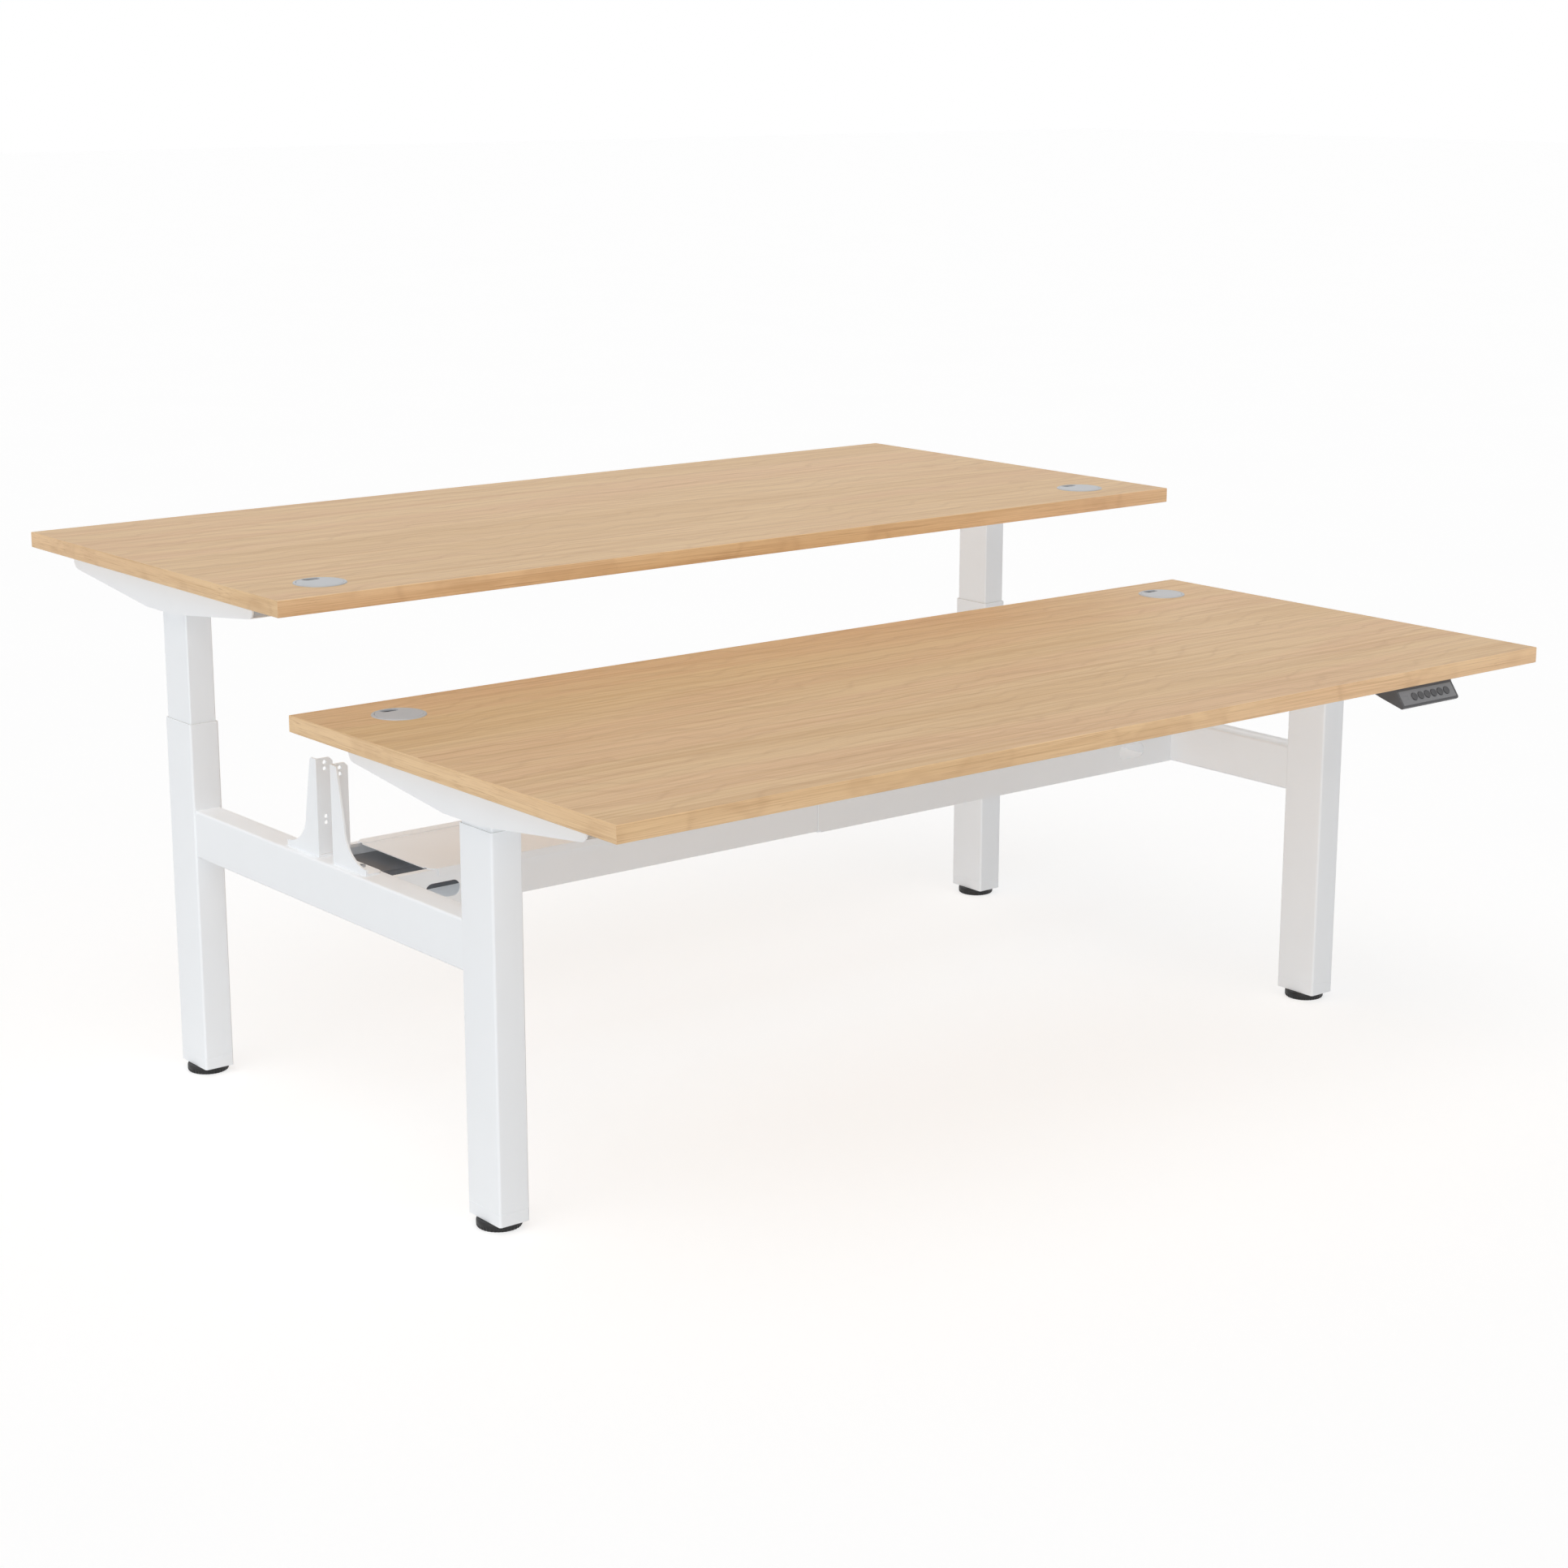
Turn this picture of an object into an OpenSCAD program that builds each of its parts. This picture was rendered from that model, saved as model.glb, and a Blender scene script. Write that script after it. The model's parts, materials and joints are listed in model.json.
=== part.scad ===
// Back-to-back pair of height adjustable desks on one shared frame.
// X runs along the worktops, Y runs from the front user to the rear user, Z is up.
// The origin is on the floor under the middle of the bench.

/* [Worktops] */
// Length of each worktop, left to right
top_len = 1800; // [1400:10:2200]
// Depth of each worktop, user edge to middle edge
top_dep = 800; // [660:10:1000]
// Thickness of each worktop
top_t = 25; // [20:1:32]
// Gap between the two worktops, where a screen drops in
top_gap = 20; // [10:1:60]
// Thickness of the lipping round each worktop
band_t = 2; // [1:0.5:3]
// How far the front desk stands above its lowest height
front_lift = 9; // [0:1:400]
// How far the rear desk stands above its lowest height
rear_lift = 171; // [0:1:400]

/* [Columns] */
// Width of the outer column tube, along the desk
col_w = 50; // [44:1:70]
// Depth of the outer column tube, front to back
col_d = 80; // [70:1:110]
// Corner radius of the outer column tube
col_r = 4; // [3:0.5:6]
// Wall of the outer column tube
col_wall = 1.5; // [1.2:0.1:2.5]
// Wall of the inner column tube
inner_wall = 2; // [1.5:0.1:3]
// Height of the outer tube's top above the floor
col_top = 574; // [520:1:700]
// Distance from a worktop's end to the column's outer face
col_inset = 45; // [30:1:120]
// Distance from a worktop's middle edge to the column's centre
col_back = 410; // [330:1:500]
// Thickness of the glide bush between the two tubes
bush_t = 1; // [0.8:0.1:1.5]
// Height of the glide bush
bush_h = 60; // [30:1:100]
// Visible neck of the inner tube at the lowest height
neck = 5; // [3:1:20]

/* [Feet] */
// Diameter of a levelling foot
foot_d = 65; // [50:1:68]
// Height of a levelling foot's disc
foot_h = 12; // [8:0.5:20]
// Diameter of a levelling foot's stud
stud_d = 10; // [8:1:12]
// Number of grip notches round a foot
foot_notches = 36; // [12:1:48]
// Height of the cap at the bottom of a column
cap_h = 19; // [10:1:40]
// Height of the cap's spigot inside the tube
spigot_h = 15; // [8:1:30]

/* [Drive] */
// Diameter of a lifting spindle
spindle_d = 14; // [10:0.5:16]
// Outer diameter of the tube that carries the nut
carrier_d = 26; // [22:1:30]
// Outer diameter of the spindle nut
nut_d = 32; // [28:1:34]
// Height of the spindle nut
nut_h = 33; // [20:1:60]
// Distance from the outer tube's top down to the nut's top
nut_drop = 29; // [20:1:60]
// Diameter of the motor can
motor_d = 30; // [24:1:32]
// Length of the motor can
motor_len = 95; // [60:1:110]

/* [Support arms] */
// Width of a support arm
arm_w = 90; // [86:1:120]
// Length of a support arm, front to back
arm_len = 580; // [480:10:620]
// Depth of a support arm over the column
arm_mid = 51; // [48:1:70]
// Depth of a support arm at its ends
arm_end = 24; // [20:1:40]
// Length of the flat stretch over the column
arm_flat = 90; // [88:1:160]
// Radius of the arm's lower end corners
arm_r = 14; // [5:1:18]
// Thickness of the arm's sheet
arm_t = 2.5; // [1.5:0.1:4]
// Width of the rails that tie the arms together
rail_w = 40; // [20:1:60]
// Height of the rails that tie the arms together
rail_h = 20; // [15:1:24]
// Distance from the column's centre to each rail's centre
rail_off = 130; // [110:1:180]

/* [Side beams] */
// Width of a side beam
beam_w = 45; // [40:1:50]
// Height of a side beam
beam_h = 75; // [60:1:100]
// Height of a side beam's underside above the floor
beam_z = 362; // [200:1:420]
// Wall of a side beam
beam_wall = 2; // [1.5:0.1:3]

/* [Cable tray] */
// Outer half width of the wider tray half
tray_half = 107.5; // [80:0.5:125]
// Thickness of the tray's sheet
tray_t = 1.5; // [1:0.1:2]
// Play between the two sliding tray halves
slide_gap = 0.5; // [0.3:0.1:1]
// Drop from the side beam's top to the tray's rim
rim_drop = 10; // [4:1:20]
// Width of the tray's inward rim
rim_w = 12; // [8:1:20]
// Length over which the tray halves overlap
tray_lap = 150; // [80:1:300]
// Length of a cable slot in the tray's wall
slot_len = 60; // [30:1:90]
// Height of a cable slot in the tray's wall
slot_h = 24; // [12:1:30]
// Distance from a tray's end to the centre of its cable slot
slot_in = 97.5; // [60:0.5:160]
// Opening left between a lid and the side beam
lid_gap = 78; // [40:1:150]
// Depth of a lid's folded edges
lid_fold = 12; // [6:1:16]
// Width of a lid's raised edge bands
lid_band = 20; // [16:1:40]

/* [Power box] */
// Length of the mains box in the tray
box_len = 310; // [150:10:500]
// Depth of the mains box, front to back
box_dep = 106; // [60:1:110]
// Height of the mains box
box_h = 42; // [30:1:48]

/* [Screen brackets] */
// Width of the slot between the two brackets of a pair
screen_slot = 40; // [22:1:60]
// Width of a bracket along the desk
brk_w = 28; // [24:1:36]
// Thickness of a bracket's sheet
brk_t = 3; // [2:0.1:4]
// Depth of a bracket's fin at its top
fin_top = 18; // [14:1:30]
// Depth of a bracket's fin where its curve starts
fin_mid = 34; // [26:1:50]
// Depth of a bracket's fin at its foot
fin_foot = 92; // [70:1:105]
// Height of a bracket's toe
fin_toe = 9; // [6:1:14]
// Clearance between a bracket and the lowest worktop
brk_clear = 45; // [15:1:80]
// Diameter of a screen screw's hole
screen_hole_d = 6.5; // [4:0.5:8]
// Distance between the two holes of a pair
screen_pitch = 9.5; // [9:0.5:12]

/* [Grommets] */
// Distance from a worktop's end to a grommet's centre
grom_x = 125; // [100:1:200]
// Distance from the worktop's middle edge to a grommet's centre
grom_y = 95; // [60:1:140]
// Diameter of a grommet's hole in the worktop
grom_hole_d = 75; // [60:1:80]
// Width of the cable notch in the cap
notch_w = 27; // [16:1:34]
// Depth of the cable notch in the cap
notch_dep = 15; // [10:1:20]

/* [Handset] */
// Width of the handset
hs_w = 130; // [125:1:160]
// Distance from the worktop's end to the handset's centre
hs_x = 268; // [200:0.5:420]
// Depth of the handset's body behind the worktop's edge
hs_back = 55; // [40:1:80]
// Length of the sloping face plate, top to bottom
face_len = 26; // [24:0.5:34]
// Lean of the face plate back from upright
face_lean = 36; // [20:0.1:55]
// Width of the face plate
face_w = 123; // [118:1:124]
// Thickness of the face plate
face_t = 1.2; // [0.8:0.1:2]
// Diameter of a button
btn_d = 12.5; // [8:0.5:13]
// Distance between neighbouring buttons
btn_pitch = 15.1; // [14.5:0.1:15.5]
// How far a button stands out of the face plate
btn_out = 1.8; // [1.5:0.1:3]
// Distance a button travels when pressed
btn_travel = 1.2; // [0.6:0.1:1.4]

/* [Control box] */
// Length of the control box under each worktop
ctrl_len = 260; // [160:5:320]
// Depth of the control box
ctrl_dep = 110; // [70:1:150]
// Height of the control box
ctrl_h = 38; // [28:1:45]

/* [Hidden] */
fine = 64;
small = 32;
cut = 1;
gap = 0.3;
fit = 0.05;
seam = 0.1;
screw_fit = 0.3;

// Heights of the desk
low_h = col_top + neck + arm_mid + top_t;
front_h = low_h + front_lift;
rear_h = low_h + rear_lift;
under_front = front_h - top_t;

// Places of the columns and beams
end_x = top_len / 2;
mid_y = top_gap / 2;
col_x = end_x - col_inset - col_w / 2;
col_y = mid_y + col_back;
beam_top = beam_z + beam_h;
beam_in = col_x - beam_w / 2;
beam_r = 4;

// Sections of the tubes
tube_w = col_w - 2 * col_wall;
tube_d = col_d - 2 * col_wall;
slider_w = tube_w - 2 * (bush_t + gap);
slider_d = tube_d - 2 * (bush_t + gap);
slider_r = 2.5;
cap_z = foot_h + gap;
tube_z = foot_h + cap_h;
spigot_top = tube_z + spigot_h;

// Lifting drive
end_clear = 4;
stud_top = spigot_top + end_clear;
slider_low = spigot_top + end_clear;
slider_len = low_h - top_t - arm_mid + arm_t - slider_low;
spindle_low = stud_top + 2 * end_clear;
nut_top = col_top - nut_drop;
carrier_wall = 2.5;
plate_t = 3;
plate_w = 80;
plate_len = 88;
plate_hole_d = 36;
gear_w = 56;
gear_foot_w = 78;
gear_foot_h = 10;
gear_len = 86;
gear_r = 5;
gear_top = 3.5;
motor_z = 20;
bearing_d = 24;
bearing_h = 4;
socket_dep = 20;
arm_floor = arm_mid - arm_t;
arm_splay = 20;
gear_floor = arm_floor - plate_t;
drive_bolt_x = 31;
drive_bolt_y = 28;
drive_bolt_d = 6;
drive_bolt_bite = 8;

// Arms and rails
lip_w = 15;
lip_x = arm_w / 2 - arm_t - lip_w / 2;
lip_clear = 12;
lip_from = gear_len / 2 + lip_clear;
lip_len = arm_len / 2 - arm_r - lip_from;
arm_screw_in = 40;
arm_screw_gap = 85;
arm_screw_at = [for (s = [-1, 1], k = [0, 1]) s * (arm_len / 2 - arm_screw_in - k * arm_screw_gap)];
rail_len = 2 * (col_x - arm_w / 2);
rail_wall = 1.5;
rail_r = 2;
rail_screw_in = 285;
rail_screw_at = [for (s = [-1, 0, 1]) s * (rail_len / 2 - rail_screw_in)];

// Wood screws
wood_d = 4.4;
wood_head_d = 9;
wood_head_h = 2.4;
wood_bite = 15;

// Cable tray
lap_gap = 2;
seam_notch = 5;
wide_z = beam_z;
wide_rim = beam_top - rim_drop;
slim_half = tray_half - tray_t - slide_gap;
slim_z = wide_z + tray_t + slide_gap;
slim_rim = wide_rim - tray_t - slide_gap;
rim_lip = 5;
slot_z = beam_z + 30.5;
slot_x = beam_in - slot_in;
lid_t = 1.5;
lid_end = beam_in - lid_gap;
lid_dip = 1.8;
lid_relief = 12;
seam_gap = 0.5;
tray_bolt_d = 6;
tray_bolt_y = 62;
tray_bolt_z = beam_z + 33;
lap_bolt_x = [40, 110];
lap_bolt_y = 60;

// Mains box in the tray
box_in = 12;
box_x = -beam_in + box_in;
box_clear = 7;
box_y = slim_half - tray_t - box_clear - box_dep;
box_shell = 2.5;
box_r = 4;

// Screen brackets
brk_out = 12;
brk_h = low_h - top_t - brk_clear - beam_top;
brk_curve = 60;
brk_gap = 2;
brk_corner = 10;
brk_bolt_d = 6;
brk_bolt_at = [26, 52];
brk_bolt_in = 17;
brk_bolt_x = col_x + brk_out - brk_bolt_in;
brk_top_r = 3;
brk_chamfer = 8;
screen_hole_x = 14.5;
screen_hole_top = 6.5;
screen_hole_low = 51;

// Grommets
grom_d = grom_hole_d + 5;
cap_d = grom_hole_d - 5;
grom_lip = 1.5;
sleeve_wall = 2;
sleeve_dep = 20;
ledge_w = 2;
ledge_t = 2;
cap_t = 2.5;
notch_r = 6;

// Handset, in a frame with Y out from the worktop's edge and Z down from its underside
face_y = -4.6;
face_z = 4.2;
face_rim = 1;
face_dy = face_len * sin(face_lean);
face_dz = face_len * cos(face_lean);
chin = 5;
hs_tail_h = 13;
hs_r = 3;
btn_count = 6;
btn_shift = 6.5;
btn_h = 5;
btn_bevel = 0.6;
btn_pocket = btn_h - btn_out + btn_travel + gap;
screen_x = -52;
screen_w = 14;
screen_h = 8;
screen_sink = 0.4;
btn_names = ["up", "down", "one", "two", "three", "four"];
hs_screw_x = 48;
hs_screw_y = -30;

// Control box
ctrl_x = 120;
inlet_w = 28;
inlet_h = 22;
inlet_dep = 14;
inlet_pin_d = 4;
inlet_pin_gap = 7;
ctrl_tab = 14;
ctrl_tab_t = 3;
ctrl_wall = 2;

// Colours
white = "whitesmoke";
beech = "burlywood";
lipping = "tan";
steel = "lightslategray";
zinc = "silver";
black = "dimgray";
dark = "darkslategray";
grey = "lightgray";

// ---- Shared shapes ----

// Flat outline of a rectangle with round corners, made of true arcs
module round_rect(w, d, r) {
    square([w - 2 * r, d], center = true);
    square([w, d - 2 * r], center = true);
    for (sx = [-1, 1], sy = [-1, 1])
        translate([sx * (w / 2 - r), sy * (d / 2 - r)])
            circle(r, $fn = fine);
}

module round_bar(w, d, r, h) {
    linear_extrude(h)
        round_rect(w, d, r);
}

// Square tube with round corners, standing on the plane Z = 0
module round_tube(w, d, r, wall, h) {
    difference() {
        round_bar(w, d, r, h);
        translate([0, 0, -cut])
            round_bar(w - 2 * wall, d - 2 * wall, max(r - wall, wall / 2), h + 2 * cut);
    }
}

// Points along an arc, for outlines that are extruded
function arc(cx, cy, rx, ry, a0, a1, n) =
    [for (i = [0:n]) let (a = a0 + (a1 - a0) * i / n) [cx + rx * cos(a), cy + ry * sin(a)]];

// Extrudes a Y-Z outline along X between two places
module along_x(x0, x1) {
    translate([x0, 0, 0])
        rotate([90, 0, 90])
            linear_extrude(x1 - x0)
                children();
}

// Puts a part made for the front desk on the rear desk, turned half round
module rear_desk() {
    translate([0, 0, rear_h - front_h])
        rotate([0, 0, 180])
            children();
}

module at_columns_front() {
    for (s = [-1, 1])
        translate([s * col_x, -col_y, 0])
            children();
}

module at_columns() {
    for (sx = [-1, 1], sy = [-1, 1])
        translate([sx * col_x, sy * col_y, 0])
            children();
}

// Wood screw with its head's underside at the origin, pointing up
module wood_screw(grip) {
    translate([0, 0, -wood_head_h])
        cylinder(d = wood_head_d, h = wood_head_h, $fn = small);
    cylinder(d = wood_d, h = grip + wood_bite - gap, $fn = small);
}

// Machine bolt with its head's underside at the origin, pointing up
module bolt(d, len) {
    translate([0, 0, -d / 2])
        difference() {
            cylinder(d = 1.8 * d, h = d / 2, $fn = small);
            translate([0, 0, -cut])
                cylinder(d = 0.9 * d, h = d / 4 + cut, $fn = 6);
        }
    cylinder(d = d, h = len, $fn = small);
}

// ---- Columns ----

module outer_tube() {
    translate([0, 0, tube_z])
        round_tube(col_w, col_d, col_r, col_wall, col_top - tube_z);
}

module outer_tubes_front() {
    color(white)
        at_columns_front()
            outer_tube();
}

module outer_tubes_rear() {
    color(white)
        rotate([0, 0, 180])
            at_columns_front()
                outer_tube();
}

module foot_caps() {
    color(white)
        at_columns()
            difference() {
                union() {
                    translate([0, 0, cap_z])
                        round_bar(col_w, col_d, col_r, tube_z - cap_z);
                    translate([0, 0, tube_z])
                        round_bar(tube_w - 2 * gap, tube_d - 2 * gap, col_r - col_wall, spigot_h);
                }
                translate([0, 0, cap_z - cut])
                    cylinder(r = stud_d / 2 + fit, h = spigot_top - cap_z + 2 * cut, $fn = fine);
            }
}

module glide_bushes() {
    color(grey)
        at_columns()
            translate([0, 0, col_top - bush_h])
                round_tube(tube_w, tube_d, col_r - col_wall, bush_t, bush_h);
}

// Tube that stands on the foot cap and holds the spindle's nut
module nut_carriers() {
    color(zinc)
        at_columns()
            difference() {
                union() {
                    translate([0, 0, spigot_top])
                        cylinder(d = carrier_d, h = nut_top - nut_h - spigot_top, $fn = fine);
                    translate([0, 0, nut_top - nut_h])
                        cylinder(d = nut_d, h = nut_h, $fn = fine);
                }
                translate([0, 0, spigot_top - cut])
                    cylinder(d = carrier_d - 2 * carrier_wall,
                             h = nut_top - nut_h - spigot_top + cut, $fn = fine);
                translate([0, 0, nut_top - nut_h - cut])
                    cylinder(r = spindle_d / 2 + fit, h = nut_h + 2 * cut, $fn = fine);
            }
}

// Levelling foot: ribbed disc with its threaded stud
module foot(sx, sy) {
    disc_top = foot_h;
    rim_h = 0.65 * foot_h;
    color(black)
        translate([sx * col_x, sy * col_y, 0]) {
            difference() {
                union() {
                    cylinder(d = foot_d, h = rim_h, $fn = fine);
                    translate([0, 0, rim_h])
                        cylinder(d1 = foot_d, d2 = foot_d - 8, h = disc_top - rim_h, $fn = fine);
                }
                for (i = [0:foot_notches - 1])
                    rotate([0, 0, i * 360 / foot_notches])
                        translate([foot_d / 2 + 0.3, 0, -cut])
                            cylinder(d = 3, h = rim_h - 1, $fn = 16);
            }
            translate([0, 0, disc_top])
                cylinder(d = stud_d, h = stud_top - disc_top, $fn = fine);
        }
}

// ---- Side frames ----

module side_beam(s) {
    color(white)
        difference() {
            translate([s * col_x, 0, beam_z + beam_h / 2])
                rotate([90, 0, 0])
                    translate([0, 0, -(col_y - col_d / 2)])
                        round_tube(beam_w, beam_h, beam_r, beam_wall, 2 * (col_y - col_d / 2));
            for (sy = [-1, 1], y = brk_bolt_at)
                translate([s * brk_bolt_x, sy * (screen_slot / 2 + y), beam_top - 2 * beam_wall])
                    cylinder(r = brk_bolt_d / 2 + screw_fit, h = 4 * beam_wall, $fn = small);
            for (sy = [-1, 1])
                translate([s * (beam_in - beam_wall), sy * tray_bolt_y, tray_bolt_z])
                    rotate([0, s * 90, 0])
                        cylinder(r = tray_bolt_d / 2 + screw_fit, h = 3 * beam_wall, $fn = small);
        }
}

module side_beam_left() {
    side_beam(-1);
}

module side_beam_right() {
    side_beam(1);
}

// Bracket's fin outline: slot face at Y = 0, beam's top at Z = 0
function fin_points() = concat(
    [[0, 0], [0, brk_h], [fin_top - brk_top_r, brk_h], [fin_top, brk_h - brk_top_r]],
    arc(fin_foot, brk_curve, fin_foot - fin_mid, brk_curve - fin_toe, 180, 270, 16),
    [[fin_foot, 0]]
);

// Folded bracket: fin, slotted plate and bolted base
module screen_bracket() {
    along_x(0, brk_t)
        polygon(fin_points());
    difference() {
        translate([0, 0, brk_t + brk_gap])
            cube([brk_w, brk_t, brk_h - brk_t - brk_gap]);
        translate([brk_w, 0, brk_h])
            rotate([0, 45, 0])
                cube([brk_chamfer, 3 * brk_t, brk_chamfer], center = true);
        for (z = [screen_hole_low, screen_hole_low + screen_pitch,
                  brk_h - screen_hole_top - screen_pitch, brk_h - screen_hole_top])
            translate([screen_hole_x, -cut, z])
                rotate([-90, 0, 0])
                    cylinder(d = screen_hole_d, h = brk_t + 2 * cut, $fn = small);
    }
    difference() {
        linear_extrude(brk_t) {
            square([brk_w - brk_corner, fin_foot]);
            square([brk_w, fin_foot - brk_corner]);
            translate([brk_w - brk_corner, fin_foot - brk_corner])
                circle(brk_corner, $fn = small);
        }
        for (y = brk_bolt_at)
            translate([brk_bolt_in, y, -cut])
                cylinder(r = brk_bolt_d / 2 + screw_fit, h = brk_t + 2 * cut, $fn = small);
    }
}

module screen_brackets() {
    color(white)
        for (mx = [0, 1], my = [0, 1])
            mirror([mx, 0, 0])
                mirror([0, my, 0])
                    translate([-(col_x + brk_out), screen_slot / 2, beam_top])
                        screen_bracket();
}

// Bolts of the brackets, of the tray's ends and of the tray's overlap
module frame_bolts() {
    color(zinc) {
        for (s = [-1, 1], sy = [-1, 1]) {
            for (y = brk_bolt_at)
                translate([s * brk_bolt_x, sy * (screen_slot / 2 + y), beam_top + brk_t])
                    rotate([180, 0, 0])
                        bolt(brk_bolt_d, brk_t + 3 * beam_wall);
            translate([s * (beam_in - tray_t), sy * tray_bolt_y, tray_bolt_z])
                rotate([0, s * 90, 0])
                    bolt(tray_bolt_d, tray_t + 3 * beam_wall);
        }
        for (x = lap_bolt_x, sy = [-1, 1])
            translate([x, sy * lap_bolt_y, wide_z])
                bolt(tray_bolt_d, 3 * tray_t + slide_gap);
    }
}

// ---- Cable tray ----

// Y-Z outline of a tray half: floor, walls and inward rims
module tray_section(half, floor_z, rim_z) {
    translate([-half, floor_z])
        square([2 * half, tray_t]);
    for (s = [-1, 1]) {
        translate([s * (half - tray_t / 2) - tray_t / 2, floor_z])
            square([tray_t, rim_z - floor_z]);
        translate([s * (half - rim_w / 2) - rim_w / 2, rim_z - tray_t])
            square([rim_w, tray_t]);
    }
}

// Y-Z outline of the lips that stiffen a tray half's rims
module tray_lips(half, rim_z) {
    for (s = [-1, 1])
        translate([s * (half - rim_w + tray_t / 2) - tray_t / 2, rim_z - rim_lip])
            square([tray_t, rim_lip]);
}

// Round-ended cable slots through both walls
module tray_slots(x) {
    for (sx = [-1, 1])
        translate([x + sx * (slot_len - slot_h) / 2, 0, slot_z])
            rotate([90, 0, 0])
                cylinder(d = slot_h, h = 3 * tray_half, center = true, $fn = fine);
    translate([x, 0, slot_z])
        cube([slot_len - slot_h, 3 * tray_half, slot_h], center = true);
}

module tray_end_holes(s) {
    for (sy = [-1, 1])
        translate([s * (beam_in - 3 * tray_t), sy * tray_bolt_y, tray_bolt_z])
            rotate([0, s * 90, 0])
                cylinder(r = tray_bolt_d / 2 + screw_fit, h = 6 * tray_t, $fn = small);
}

module tray_lap_holes() {
    for (x = lap_bolt_x, sy = [-1, 1])
        translate([x, sy * lap_bolt_y, wide_z - cut])
            cylinder(r = tray_bolt_d / 2 + screw_fit, h = 3 * tray_t + 2 * cut, $fn = small);
}

module tray_half_left() {
    color(white)
        difference() {
            union() {
                along_x(-beam_in, tray_lap)
                    tray_section(slim_half, slim_z, slim_rim);
                along_x(-beam_in, tray_lap)
                    tray_lips(slim_half, slim_rim);
                translate([-beam_in, -slim_half, slim_z])
                    cube([tray_t, 2 * slim_half, slim_rim - slim_z]);
            }
            tray_slots(-slot_x);
            tray_end_holes(-1);
            tray_lap_holes();
        }
}

module tray_half_right() {
    color(white)
        difference() {
            union() {
                along_x(0, beam_in)
                    tray_section(tray_half, wide_z, wide_rim);
                along_x(tray_lap + lap_gap, beam_in)
                    tray_lips(tray_half, wide_rim);
                translate([beam_in - tray_t, -tray_half, wide_z])
                    cube([tray_t, 2 * tray_half, wide_rim - wide_z]);
            }
            tray_slots(slot_x);
            tray_end_holes(1);
            tray_lap_holes();
            for (s = [-1, 1])
                translate([-cut, s * tray_half - seam_notch / 2, wide_z - cut])
                    cube([seam_notch + cut, seam_notch, seam_notch]);
        }
}

// Slanted cut at a lid's outer corner
module lid_corner(x, y, z) {
    translate([x, y, z])
        rotate([0, 0, 45])
            cube([lid_relief, lid_relief, 4 * lid_t], center = true);
}

// One lid: sheet with folded edges and a lowered middle panel
module lid(x0, x1, half, z, relief0, relief1) {
    difference() {
        union() {
            translate([x0, -half, z])
                cube([x1 - x0, 2 * half, lid_t]);
            translate([x0, -(half - lid_band), z - lid_dip])
                cube([x1 - x0, 2 * (half - lid_band), lid_t + lid_dip]);
            for (s = [-1, 1])
                translate([x0 + relief0, s * (half - lid_t / 2) - lid_t / 2, z + lid_t - lid_fold])
                    cube([x1 - x0 - relief0 - relief1, lid_t, lid_fold]);
        }
        translate([x0 - cut, -(half - lid_band - lid_t), z + lid_t - lid_dip])
            cube([x1 - x0 + 2 * cut, 2 * (half - lid_band - lid_t), lid_dip + cut]);
        for (s = [-1, 1]) {
            if (relief0 > 0)
                lid_corner(x0, s * half, z);
            if (relief1 > 0)
                lid_corner(x1, s * half, z);
        }
    }
}

module tray_lid_left() {
    color(white)
        lid(-lid_end, -seam_gap, slim_half + slide_gap + lid_t, slim_rim + gap, lid_relief, 0);
}

module tray_lid_right() {
    color(white)
        lid(seam_gap, lid_end, tray_half + slide_gap + lid_t, wide_rim + gap, 0, lid_relief);
}

// Mains box near the tray's left end: shell with a separate cover
module power_box() {
    base_h = box_h - box_shell - gap;
    lip = 2 * box_shell + gap;
    color(dark)
        translate([box_x + box_len / 2, box_y + box_dep / 2, slim_z + tray_t]) {
            difference() {
                round_bar(box_len, box_dep, box_r, base_h);
                translate([0, 0, box_shell])
                    round_bar(box_len - 2 * box_shell, box_dep - 2 * box_shell, box_r - box_shell, box_h);
            }
            translate([0, 0, base_h + gap])
                round_bar(box_len, box_dep, box_r, box_shell);
            translate([0, 0, base_h - box_shell])
                round_bar(box_len - 2 * lip, box_dep - 2 * lip, box_r - box_shell, box_shell + gap);
        }
}

// ---- Moving part of a desk, drawn for the front desk ----

module at_grommets() {
    for (s = [-1, 1])
        translate([s * (end_x - grom_x), -(mid_y + grom_y), front_h])
            children();
}

// Places of the wood screws, as points on the underside with the screw's grip
arm_screws = [for (s = [-1, 1], e = [-1, 1], y = arm_screw_at)
    [s * col_x + e * lip_x, -col_y + y, arm_t]];
rail_screws = [for (e = [-1, 1], x = rail_screw_at)
    [x, -col_y + e * rail_off, rail_h]];
handset_screws = [for (e = [-1, 1])
    [end_x - hs_x + e * hs_screw_x, -(mid_y + top_dep) - hs_screw_y, 4]];
ctrl_screws = [for (e = [-1, 1], f = [-1, 1])
    [ctrl_x + ctrl_len / 2 + e * (ctrl_len / 2 + ctrl_tab / 2), -col_y + f * ctrl_dep / 3, ctrl_tab_t]];
all_screws = concat(arm_screws, rail_screws, handset_screws, ctrl_screws);

module worktop() {
    core_len = top_len - 2 * band_t;
    core_dep = top_dep - 2 * band_t;
    color(beech)
        difference() {
            translate([-core_len / 2, -(mid_y + top_dep) + band_t, under_front])
                cube([core_len, core_dep, top_t]);
            at_grommets()
                translate([0, 0, -top_t - cut])
                    cylinder(d = grom_hole_d, h = top_t + 2 * cut, $fn = fine);
            for (p = all_screws)
                translate([p[0], p[1], under_front - cut])
                    cylinder(r = wood_d / 2 + fit, h = wood_bite + cut, $fn = small);
        }
}

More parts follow.
